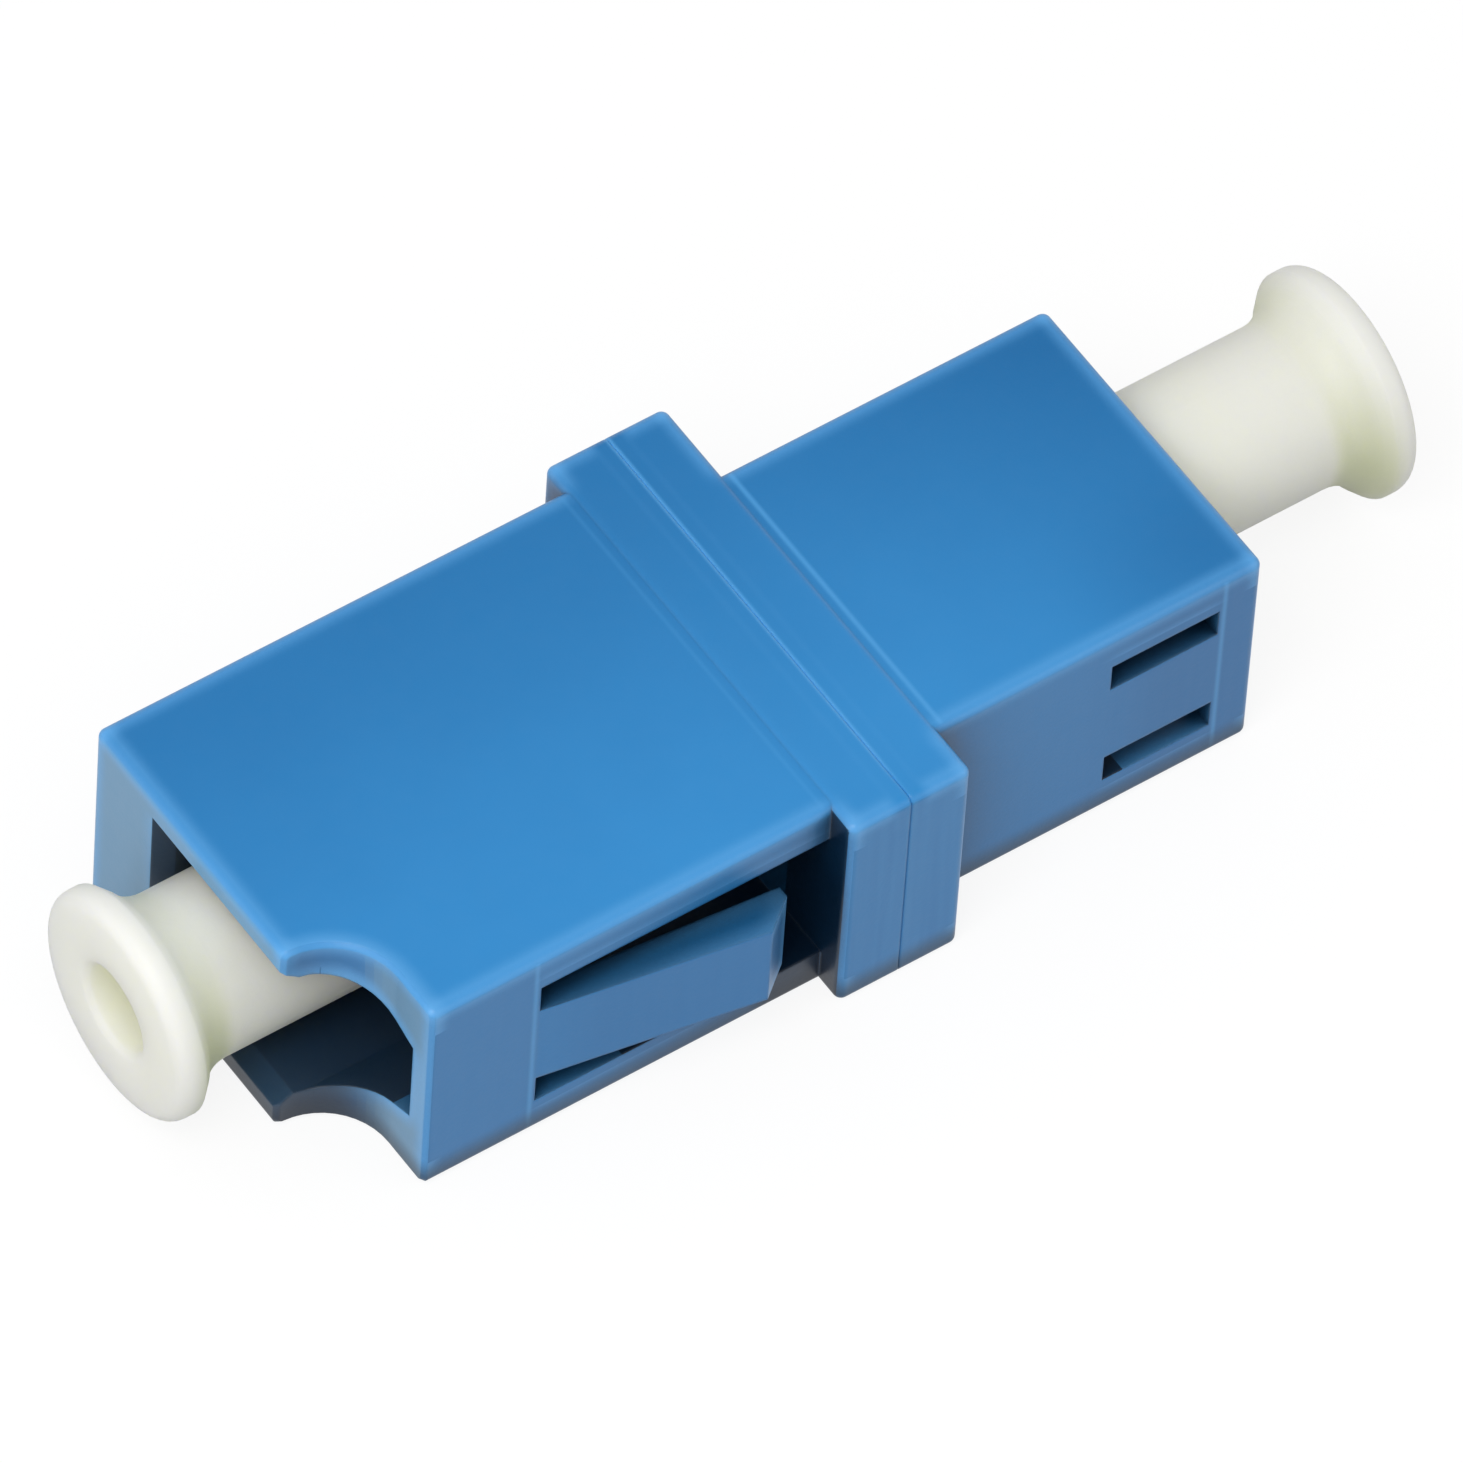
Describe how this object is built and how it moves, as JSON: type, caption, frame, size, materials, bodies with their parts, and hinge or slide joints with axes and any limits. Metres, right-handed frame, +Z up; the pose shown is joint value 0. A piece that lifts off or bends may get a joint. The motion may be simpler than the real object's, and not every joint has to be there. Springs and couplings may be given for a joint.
{
  "type": "lc fibre adapter",
  "caption": "Simplex fibre optic adapter: moulded body with a flange, snap-in panel clip and latch slots, around a split alignment sleeve, with a push-in dust cap at each end.",
  "frame": {"origin": "centre of the alignment sleeve: on the optical axis, in the plane where the two housing halves are welded", "axes": "X along the optical axis, -X out of the long half's port and +X out of the short half's; -Y towards the panel clip and the latch slots; +Z up, square to the wide flat side that the part lies on"},
  "size_m": [0.0384, 0.0142, 0.0074],
  "materials": {
    "housing": "satin moulded blue",
    "housing_short": "satin moulded blue",
    "sleeve": "polished white ceramic",
    "cap": "soft off-white moulding",
    "cap_short": "soft off-white moulding"
  },
  "bodies": {
    "adapter": {"long_housing": "housing", "short_housing": "housing_short", "alignment_sleeve": "sleeve"},
    "long_cap": {"long_side_dust_cap": "cap"},
    "short_cap": {"short_side_dust_cap": "cap_short"}
  },
  "joints": [
    {"name": "long_cap_pull", "type": "slide", "parent": "adapter", "child": "long_cap", "axis": [-1, 0, 0], "range_m": [0, 0.025]},
    {"name": "short_cap_pull", "type": "slide", "parent": "adapter", "child": "short_cap", "axis": [1, 0, 0], "range_m": [0, 0.025]}
  ]
}
